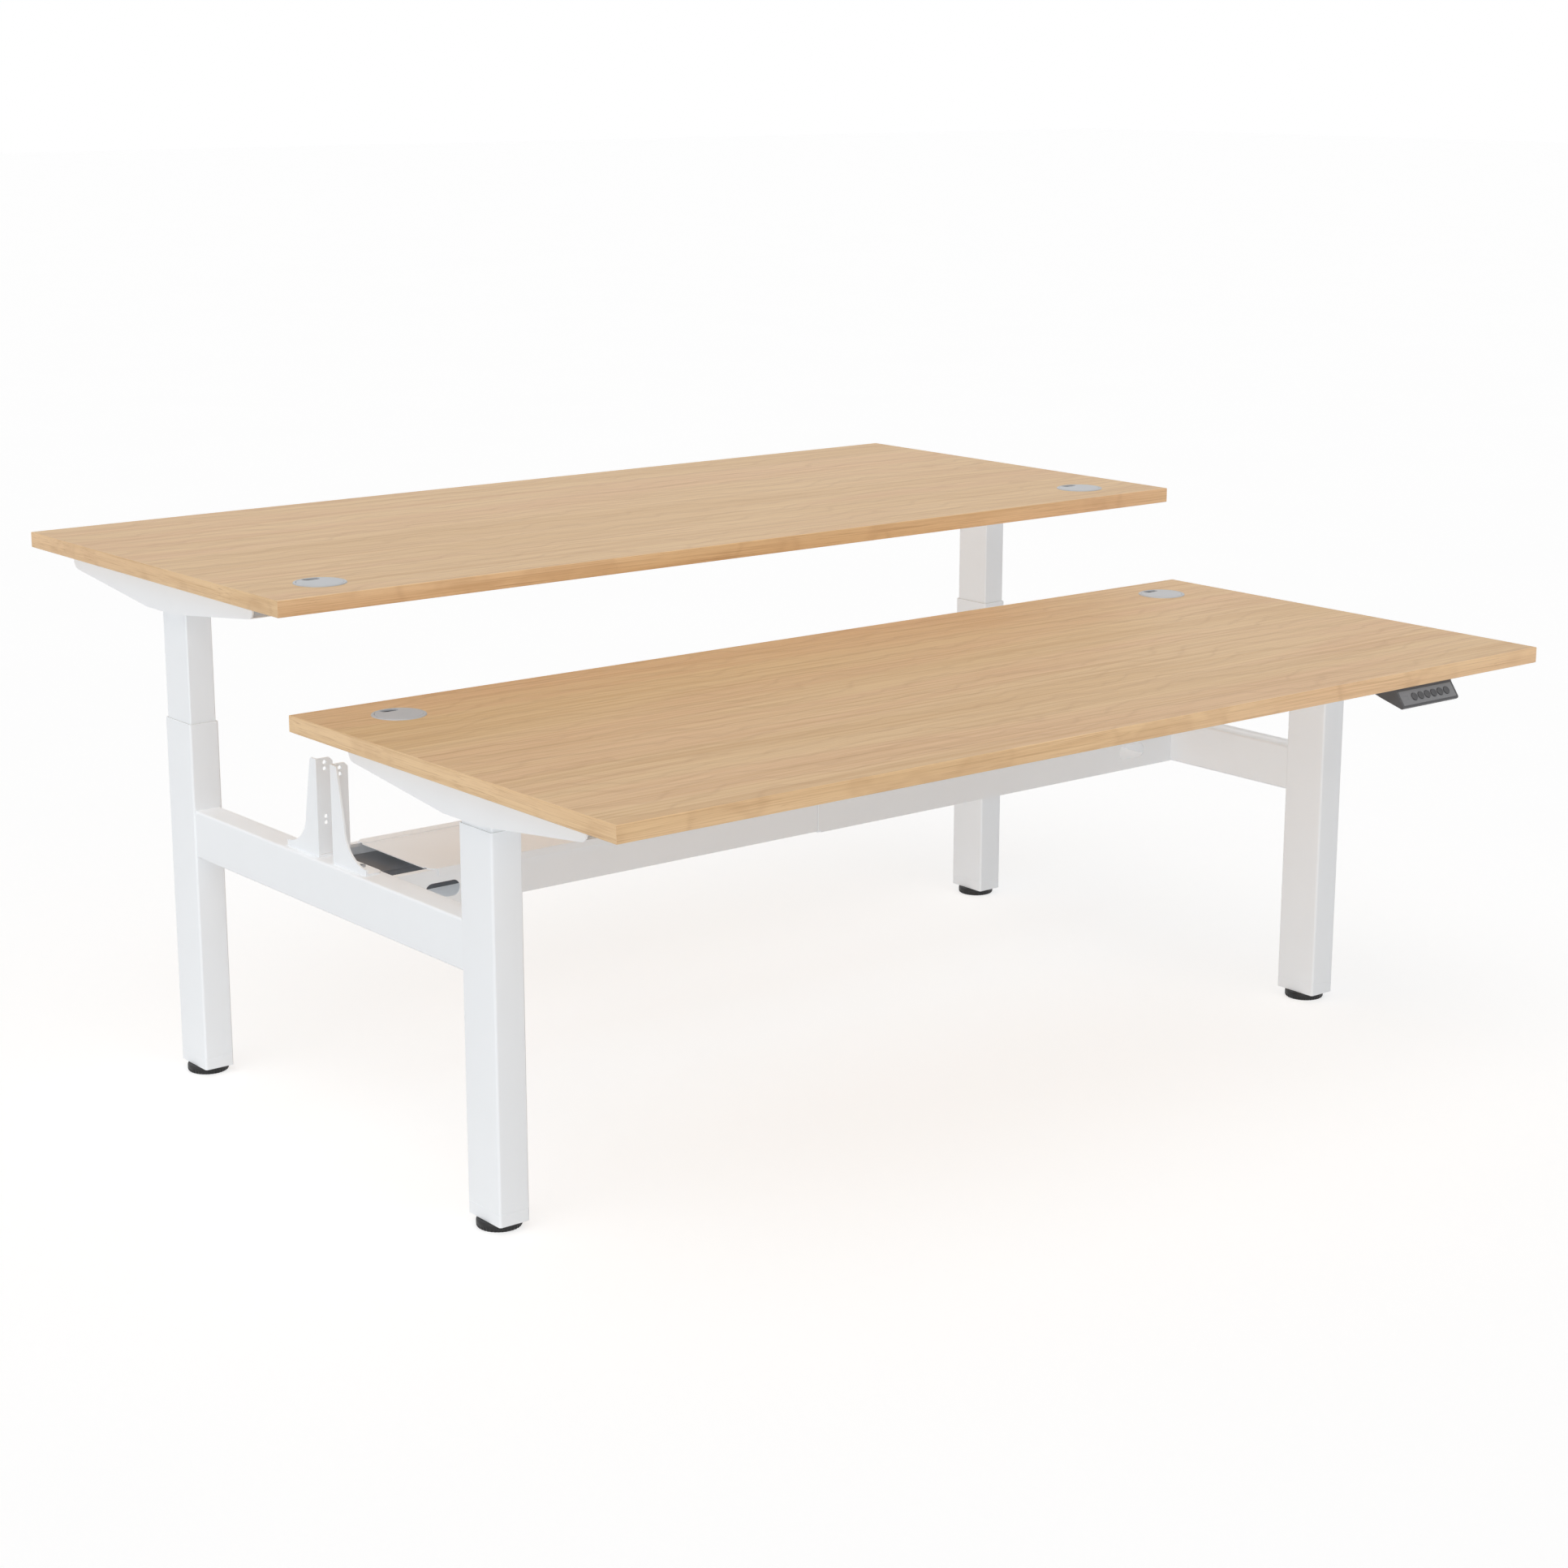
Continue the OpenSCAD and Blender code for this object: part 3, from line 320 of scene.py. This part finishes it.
def moulded(name, colour, roughness, dimple=0.0006, depth=0.00005):
    """Plastic with fine dimples and a slight cloudiness."""
    plastic = Graph(name, roughness=roughness, specular=0.4)
    cells = plastic.node("ShaderNodeTexVoronoi", {"feature": "SMOOTH_F1"},
                         {"Vector": plastic.place(), "Scale": 1.0 / dimple, "Smoothness": 0.6})["Distance"]
    cloud = plastic.noise(plastic.place(), 30.0, 3.0)
    lighter = tuple(min(255, c + 9) for c in colour)
    plastic.feed("Base Color", plastic.blend(cloud, srgb(*colour), srgb(*lighter)))
    plastic.feed("Roughness", roughness + (cloud - 0.5) * 0.1)
    plastic.relief(cells, depth, 0.5)
    return plastic.material


zinc = metal("zinc_plating", (196, 200, 206), 0.38, 160.0)
casting = metal("cast_housing", (150, 153, 158), 0.5, 420.0)
grommet_grey = moulded("grommet_grey", (182, 184, 187), 0.34, 0.0009, 0.00002)
bush_grey = moulded("bush_grey", (196, 196, 192), 0.5)
# this black is the feet's own plastic and also painted shade inside the grommet sleeves
black_plastic = moulded("black_plastic", (26, 26, 27), 0.45)
button_plastic = moulded("button_grey_plastic", (74, 74, 76), 0.45)
dark_plastic = moulded("dark_grey_plastic", (80, 80, 82), 0.42)
face_plastic = moulded("face_grey_plastic", (122, 122, 124), 0.38, 0.0008)
box_plastic = moulded("box_grey_plastic", (104, 105, 108), 0.45)
print("metals and plastics made:", 9)

# %% Paint every part of the model with its finish
FINISHES = {
    "worktop_front": tops["front"], "worktop_rear": tops["rear"], "edge_bands": lipping,
    "outer_tubes": white, "inner_tubes": white, "foot_caps": white, "side_beam": white, "tray": white,
    "screen_brackets": white, "support_arms": white, "top_rails": white,
    "glide_bushes": bush_grey, "nut_carriers": zinc, "frame_bolts": zinc, "wood_screws": zinc, "spindle": zinc,
    "drive_units": casting, "power_box": box_plastic, "control_box": dark_plastic,
    "handset_body": dark_plastic, "handset_face": face_plastic, "button": button_plastic,
    "grommet": grommet_grey, "foot_front": black_plastic, "foot_rear": black_plastic,
}


def finish_for(node):
    """The finish whose name starts the node's name."""
    return next(made for start, made in FINISHES.items() if node.startswith(start))


for name, part in frame["nodes"].items():
    part.data.materials.clear()
    part.data.materials.append(finish_for(name))
print("parts painted:", len(frame["nodes"]))


# %% [markdown]
# ## Rounded edges on folded and cut parts
# No real part has a perfectly sharp edge: a fold has a radius and a cut edge is deburred. That
# thin highlight is what makes a shape look made. The part's own mesh stays as it is. A copy is
# welded, its flat faces are joined up, and a Bevel modifier rounds the edges that turn sharply.

# %% A rounded copy of a part
BODY_OF = {node: body for body, nodes in frame["record"]["behaviour"]["bodies"].items() for node in nodes}


def adopt(piece, node, material):
    """Puts a finished piece in the scene in place of one of the model's parts."""
    if not piece.users_collection:
        bpy.context.scene.collection.objects.link(piece)
    piece.data.materials.clear()
    piece.data.materials.append(material)
    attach(piece, BODY_OF[node])
    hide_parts(node)
    return piece


def rounded_copy(node, radius, steps=2, turn=35.0):
    """Welds a copy of a part, joins its coplanar triangles and bevels edges sharper than turn degrees."""
    mesh = frame["nodes"][node].data.copy()
    mesh.name = node + "_rounded"
    work = bmesh.new()
    work.from_mesh(mesh)
    bmesh.ops.remove_doubles(work, verts=work.verts, dist=2e-6)
    bmesh.ops.dissolve_limit(work, angle_limit=math.radians(0.5), verts=work.verts, edges=work.edges)
    work.to_mesh(mesh)
    work.free()
    mesh.shade_smooth()
    mesh.set_sharp_from_angle(angle=math.radians(turn))
    piece = bpy.data.objects.new(node + "_rounded", mesh)
    bevel = piece.modifiers.new("rounded_edges", "BEVEL")
    bevel.width = radius
    bevel.segments = steps
    bevel.limit_method = "ANGLE"
    bevel.angle_limit = math.radians(turn)
    bevel.harden_normals = True
    bevel.use_clamp_overlap = True
    return adopt(piece, node, finish_for(node))


ROUNDING = {
    "outer_tubes_front": 0.0005, "outer_tubes_rear": 0.0005, "foot_caps": 0.0009,
    "side_beam_left": 0.0006, "side_beam_right": 0.0006,
    "tray_half_left": 0.0005, "tray_half_right": 0.0005, "tray_lid_left": 0.0005, "tray_lid_right": 0.0005,
    "screen_brackets": 0.0007, "support_arms_front": 0.0009, "support_arms_rear": 0.0009,
    "top_rails_front": 0.0005, "top_rails_rear": 0.0005,
    "power_box": 0.001, "control_box_front": 0.0012, "control_box_rear": 0.0012,
    "handset_body_front": 0.0013, "handset_body_rear": 0.0013,
    "handset_face_front": 0.0003, "handset_face_rear": 0.0003,
    "drive_units_front": 0.001, "drive_units_rear": 0.001,
}
for node, radius in ROUNDING.items():
    rounded_copy(node, radius, 3 if "handset_body" in node else 2)
print("rounded parts:", len(ROUNDING))


# %% [markdown]
# ## Surfaces from a grid
# The moulded parts are worked out as grids of points: one array of places, one array of faces,
# no loop over points. Two grids cover everything here, one that closes on itself in both
# directions, like a ring, and one that closes one way and has a pole at each end.

# %% Mesh from a grid of points
def mesh_from_grid(name, points, wrap_u=True, wrap_v=True):
    """points[i, j] is a place; neighbours in i and j are joined by four-sided faces."""
    rows, cols = points.shape[:2]
    last_row = rows if wrap_u else rows - 1
    last_col = cols if wrap_v else cols - 1
    i, j = np.meshgrid(np.arange(last_row), np.arange(last_col), indexing="ij")
    i2, j2 = (i + 1) % rows, (j + 1) % cols
    faces = np.stack([i * cols + j, i2 * cols + j, i2 * cols + j2, i * cols + j2], -1).reshape(-1, 4)
    mesh = bpy.data.meshes.new(name)
    mesh.from_pydata(points.reshape(-1, 3).tolist(), [], faces.tolist())
    return mesh


def face_centres(piece):
    """The middle of every face, one row each."""
    centres = np.empty(len(piece.data.polygons) * 3)
    piece.data.polygons.foreach_get("center", centres)
    return centres.reshape(-1, 3)


def close_and_orient(mesh, sharp=40.0):
    """Welds the seams, turns all faces outwards and keeps edges above a given turn crisp."""
    work = bmesh.new()
    work.from_mesh(mesh)
    bmesh.ops.remove_doubles(work, verts=work.verts, dist=1e-7)
    bmesh.ops.holes_fill(work, edges=work.edges, sides=0)
    bmesh.ops.recalc_face_normals(work, faces=work.faces)
    work.to_mesh(mesh)
    work.free()
    mesh.shade_smooth()
    mesh.set_sharp_from_angle(angle=math.radians(sharp))
    return mesh


# %% [markdown]
# ## Lipping round the worktops
# Each board's cut edge is hidden by a 2 mm strip of the same pattern, glued on and routed to a
# small radius. Its tones are set lighter than the top's, as painted light on the upright faces. The strip
# is one profile, a thin upright rectangle whose outer corners are rounded, carried round the board's outline.

# %% The lipping's profile, carried round a rectangle
LIPPING_THICK = 0.002


def lipping_mesh(node, radius=0.0013, steps=5):
    """Point = outline corner + profile offset. The profile runs up the outer face, rounds over the top by
    radius * (1 - sin t, 1 - cos t), comes back down the inner face and rounds under the bottom."""
    low, high = (np.array(v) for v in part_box(node))
    t = np.linspace(0, np.pi / 2, steps)
    height = high[2] - low[2]
    rise_in = radius * (1 - np.cos(t))
    rise_up = height - radius * (1 - np.sin(t))
    outer = np.stack([rise_in, rise_up], -1)
    lower = np.stack([rise_in[::-1], height - rise_up[::-1]], -1)
    inner = np.array([[LIPPING_THICK, height], [LIPPING_THICK, 0.0]])
    profile = np.concatenate([lower, outer, inner])
    corners = np.array([
        [low[0], low[1], 1, 1], [high[0], low[1], -1, 1],
        [high[0], high[1], -1, -1], [low[0], high[1], 1, -1]])
    x = corners[:, None, 0] + corners[:, None, 2] * profile[None, :, 0]
    y = corners[:, None, 1] + corners[:, None, 3] * profile[None, :, 0]
    z = low[2] + np.broadcast_to(profile[None, :, 1], x.shape)
    return close_and_orient(mesh_from_grid(node + "_routed", np.stack([x, y, z], -1)))


for side in ("front", "rear"):
    node = "edge_bands_" + side
    strip = adopt(bpy.data.objects.new(node + "_routed", lipping_mesh(node)), node, lipping)
    strip.data.materials.append(end_lipping)
    end_of_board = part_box(node)[1][0]
    on_short_side = np.abs(face_centres(strip)[:, 0]) > end_of_board - 1.5 * LIPPING_THICK
    strip.data.polygons.foreach_set("material_index", on_short_side.astype(np.int32))
print("lipping strips rounded on both boards; the short sides carry grain along Y")


# %% [markdown]
# ## Levelling feet
# A foot is a black moulded disc with grip teeth round its lower rim, on a threaded stud. The
# disc is one surface: a profile from the floor up to the stud, turned round the axis, whose
# radius is cut in by shallow scallops that fade out towards the smooth upper wall.

# %% A toothed disc as a radius that depends on angle and height
def foot_mesh(node, teeth=36, around=288):
    """radius(angle, height) = profile(height) - depth(height) * |cos(teeth * angle / 2)| ** 3."""
    low, high = (np.array(v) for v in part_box(node))
    centre = (low + high) / 2
    outer = (high[0] - low[0]) / 2
    stud = 0.005
    rim = np.array([
        [0.30, 0.0000, 0.0], [0.80, 0.0000, 0.0], [0.925, 0.0000, 0.3],
        [0.965, 0.0006, 1.0], [0.990, 0.0018, 1.0],
        [1.0, 0.0036, 1.0], [1.0, 0.0050, 0.9], [1.0, 0.0060, 0.25], [1.0, 0.0066, 0.0], [1.0, 0.0090, 0.0],
        [0.992, 0.0104, 0.0], [0.975, 0.0114, 0.0], [0.945, 0.0119, 0.0],
        [0.90, 0.0120, 0.0], [0.30, 0.0120, 0.0]])
    radius = np.concatenate([[0.0], rim[:, 0] * outer, [stud, stud, stud * 0.8, 0.0]])
    height = np.concatenate([[0.0], rim[:, 1], [0.0120, high[2] - 0.001, high[2], high[2]]])
    cut = np.concatenate([[0.0], rim[:, 2], [0.0, 0.0, 0.0, 0.0]]) * 0.0011
    angle = np.linspace(0, 2 * np.pi, around, endpoint=False)
    scallop = np.abs(np.cos(teeth * angle / 2)) ** 3
    r = radius[None, :] - cut[None, :] * scallop[:, None]
    z = np.broadcast_to(height[None, :], r.shape)
    x = centre[0] + r * np.cos(angle)[:, None]
    y = centre[1] + r * np.sin(angle)[:, None]
    points = np.stack([x, y, z], -1)
    return close_and_orient(mesh_from_grid(node + "_moulded", points, True, False), 50.0)


for end in ("front", "rear"):
    for side in ("left", "right"):
        node = f"foot_{end}_{side}"
        adopt(bpy.data.objects.new(node + "_moulded", foot_mesh(node)), node, black_plastic)
print("levelling feet made")


# %% [markdown]
# ## Grommet rings
# A ring lines each cable hole: a soft domed flange on the worktop, a sleeve inside the hole and
# a ledge that the turning cap sits on. It is a solid of revolution, so its profile is a short
# list of places and the flange's dome is an arc. Inside the hole it is painted black as shade.

# %% The ring as a turned profile
HOLE_R = 0.0375
SLEEVE_R = 0.0372
BORE_R = 0.0352
SEAT_R = 0.0353
LEDGE_R = 0.0333
FLANGE_R = 0.0400
FLANGE_THICK = 0.0015
SEAT_DEEP = 0.0028
LEDGE_DEEP = 0.0048
SOFT = 0.0005


def ring_grids(node, around=160):
    """One grid for each ring: a profile (distance from the axis, height) turned round the ring's axis."""
    low, high = (np.array(v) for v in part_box(node))
    top = high[2]
    t = np.linspace(0, np.pi / 2, 8)
    dome = np.stack([HOLE_R + SOFT + 4 * SOFT * np.sin(t), top - FLANGE_THICK * (1 - np.cos(t))], -1)
    inner_lip = np.array([[SEAT_R, top - SOFT], [SEAT_R + 0.3 * SOFT, top - 0.3 * SOFT], [SEAT_R + SOFT, top]])
    flange_edge = np.array([[FLANGE_R, top - FLANGE_THICK]])
    under = np.array([
        [SLEEVE_R, top - FLANGE_THICK], [SLEEVE_R, low[2] + SOFT], [SLEEVE_R - SOFT, low[2]], [BORE_R, low[2]],
        [BORE_R, top - LEDGE_DEEP], [LEDGE_R, top - LEDGE_DEEP], [LEDGE_R, top - SEAT_DEEP],
        [SEAT_R, top - SEAT_DEEP]])
    profile = np.concatenate([inner_lip, dome, flange_edge, under])
    angle = np.linspace(0, 2 * np.pi, around, endpoint=False)
    half = (high[1] - low[1]) / 2
    centre_y = (low[1] + high[1]) / 2
    grids = []
    for centre_x in (low[0] + half, high[0] - half):
        x = centre_x + profile[None, :, 0] * np.cos(angle)[:, None]
        y = centre_y + profile[None, :, 0] * np.sin(angle)[:, None]
        grids.append(np.stack([x, y, np.broadcast_to(profile[None, :, 1], x.shape)], -1))
    return grids


def joined(name, grids, sharp=40.0):
    """Several closed grids of points in one mesh."""
    work = bmesh.new()
    for k, points in enumerate(grids):
        part = mesh_from_grid(f"{name}_part_{k}", points)
        work.from_mesh(part)
        bpy.data.meshes.remove(part)
    mesh = bpy.data.meshes.new(name)
    work.to_mesh(mesh)
    work.free()
    return close_and_orient(mesh, sharp)


for side in ("front", "rear"):
    node = "grommet_sleeves_" + side
    turned = joined(node + "_turned", ring_grids(node))
    rings = adopt(bpy.data.objects.new(node + "_turned", turned), node, grommet_grey)
    # below the flange the sleeve takes black: painted shade for the dark hole under the cap, the sleeve itself
    # being grey like its flange
    rings.data.materials.append(black_plastic)
    painted_shade_below_ledge = face_centres(rings)[:, 2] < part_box(node)[1][2] - FLANGE_THICK - 0.0005
    rings.data.polygons.foreach_set("material_index", painted_shade_below_ledge.astype(np.int32))
print("grommet rings made, black below the flange")

# %% Caps with softened rims
for side in ("front", "rear"):
    for end in ("left", "right"):
        rounded_copy(f"grommet_cap_{side}_{end}", 0.0005, 3)
print("grommet caps rounded")


# %% [markdown]
# ## Handset buttons
# Each button is a low round cap with a soft edge and a shallow dish where the finger lands. It
# is a surface of revolution about the face's own normal, so it is worked out flat and then
# stood on the sloping face with the two axes of that face.

# %% Dished buttons on the sloping face
LEAN = math.radians(36.0)


def button_mesh(node, sign, around=64):
    """Height over the face = rim height - dish * (1 - (r/R)^2) inside, and a quarter round at the rim."""
    low, high = (np.array(v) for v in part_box(node))
    centre = (low + high) / 2
    radius = (high[0] - low[0]) / 2
    out = np.array([0.0, sign * math.cos(LEAN), math.sin(LEAN)])
    along = np.array([1.0, 0.0, 0.0])
    upward = np.cross(out, along)
    half = 0.0025
    t = np.linspace(0, np.pi / 2, 6)
    bevel = 0.0007
    edge_r = radius - bevel * (1 - np.cos(t))
    edge_h = half - bevel * (1 - np.sin(t))
    dish_r = np.linspace(radius - bevel, 0, 8)[1:]
    dish_h = half - 0.0004 * (1 - (dish_r / (radius - bevel)) ** 2)
    r = np.concatenate([[0.0, radius], edge_r, dish_r])
    h = np.concatenate([[-half, -half], edge_h, dish_h])
    angle = np.linspace(0, 2 * np.pi, around, endpoint=False)
    flat = r[None, :, None] * (np.cos(angle)[:, None, None] * along + np.sin(angle)[:, None, None] * upward)
    points = centre + flat + h[None, :, None] * out
    return close_and_orient(mesh_from_grid(node + "_dished", points, True, False), 50.0)


for side, sign in (("front", -1), ("rear", 1)):
    for mark in ("up", "down", "one", "two", "three", "four"):
        node = f"button_{side}_{mark}"
        adopt(bpy.data.objects.new(node + "_dished", button_mesh(node, sign)), node, button_plastic)
print("buttons made")


# %% [markdown]
# ## Floor, light and background
# The bench stands on a seamless pale floor. Its colour alone is nearly white; the camera also
# sees a little glow from it, so that the open floor reaches pure white and only the soft
# shadow under the bench stays. Two very wide suns, one high on the left and one low in front,
# give the planes their different tones without hard shadows. A third one casts no shadow: it
# fills the space under the worktops, as a reflector card would.

# %% Floor
def floor_material():
    """A pale diffuse floor. The camera and reflections see it mixed with a glow, which thins the shadow."""
    floor = Graph("studio_floor", roughness=0.9, specular=0.1)
    drift = floor.noise(floor.place(), 1.5, 3.0)
    floor.feed("Base Color", floor.blend(drift, srgb(246, 246, 246), srgb(249, 249, 249)))
    path = floor.node("ShaderNodeLightPath", {}, {})
    seen = floor.node("ShaderNodeMath", {"operation": "MAXIMUM"},
                      {0: path["Is Camera Ray"], 1: path["Is Glossy Ray"]})["Value"]
    glow = floor.node("ShaderNodeEmission", {}, {"Color": (1, 1, 1, 1), "Strength": 1.44})["Emission"]
    total = floor.node("ShaderNodeMixShader", {}, {0: seen * 0.36, 1: Wire(floor, floor.shader.outputs[0]),
                                                   2: glow})["Shader"]
    output = floor.tree.nodes["Material Output"]
    floor.tree.links.new(total.socket, output.inputs["Surface"])
    return floor.material


ground = bpy.data.meshes.new("floor")
reach = 40.0
floor_corners = [(-reach, -reach, 0), (reach, -reach, 0), (reach, reach, 0), (-reach, reach, 0)]
ground.from_pydata(floor_corners, [], [(0, 1, 2, 3)])
ground.materials.append(floor_material())
floor_piece = bpy.data.objects.new("floor", ground)
bpy.context.scene.collection.objects.link(floor_piece)
print("floor laid")

# %% World and lamps
world = bpy.data.worlds.new("studio")
bpy.context.scene.world = world
world.use_nodes = True
sky = world.node_tree
sky.nodes.clear()
path = sky.nodes.new("ShaderNodeLightPath")
level = sky.nodes.new("ShaderNodeMath")
level.operation = "MAXIMUM"
either = sky.nodes.new("ShaderNodeMath")
either.operation = "MAXIMUM"
sky.links.new(path.outputs["Is Camera Ray"], level.inputs[0])
sky.links.new(path.outputs["Is Glossy Ray"], level.inputs[1])
sky.links.new(level.outputs[0], either.inputs[0])
sky.links.new(path.outputs["Is Transmission Ray"], either.inputs[1])
brightness = sky.nodes.new("ShaderNodeMapRange")
brightness.inputs["To Min"].default_value = 0.33
brightness.inputs["To Max"].default_value = 1.0
sky.links.new(either.outputs[0], brightness.inputs["Value"])
back = sky.nodes.new("ShaderNodeBackground")
back.inputs["Color"].default_value = (1.0, 1.0, 1.0, 1.0)
sky.links.new(brightness.outputs["Result"], back.inputs["Strength"])
sky_out = sky.nodes.new("ShaderNodeOutputWorld")
sky.links.new(back.outputs[0], sky_out.inputs["Surface"])


def sun(name, towards, strength, spread, shadow=True):
    """A very wide sun: the same soft light over the whole floor, from a direction."""
    data = bpy.data.lights.new(name, "SUN")
    data.energy = strength
    data.angle = math.radians(spread)
    data.use_shadow = shadow
    light = bpy.data.objects.new(name, data)
    light.rotation_mode = "QUATERNION"
    light.rotation_quaternion = (-Vector(towards)).to_track_quat("-Z", "Y")
    bpy.context.scene.collection.objects.link(light)
    return light


sun("soft_sun", (-0.399, -0.129, 0.907), 0.46, 50.0)
sun("front_fill", (-0.25, -0.90, 0.36), 0.05, 90.0)
sun("under_fill", (-0.60, -0.46, 0.65), 1.46, 60.0, shadow=False)

bpy.context.scene.view_settings.view_transform = "Standard"
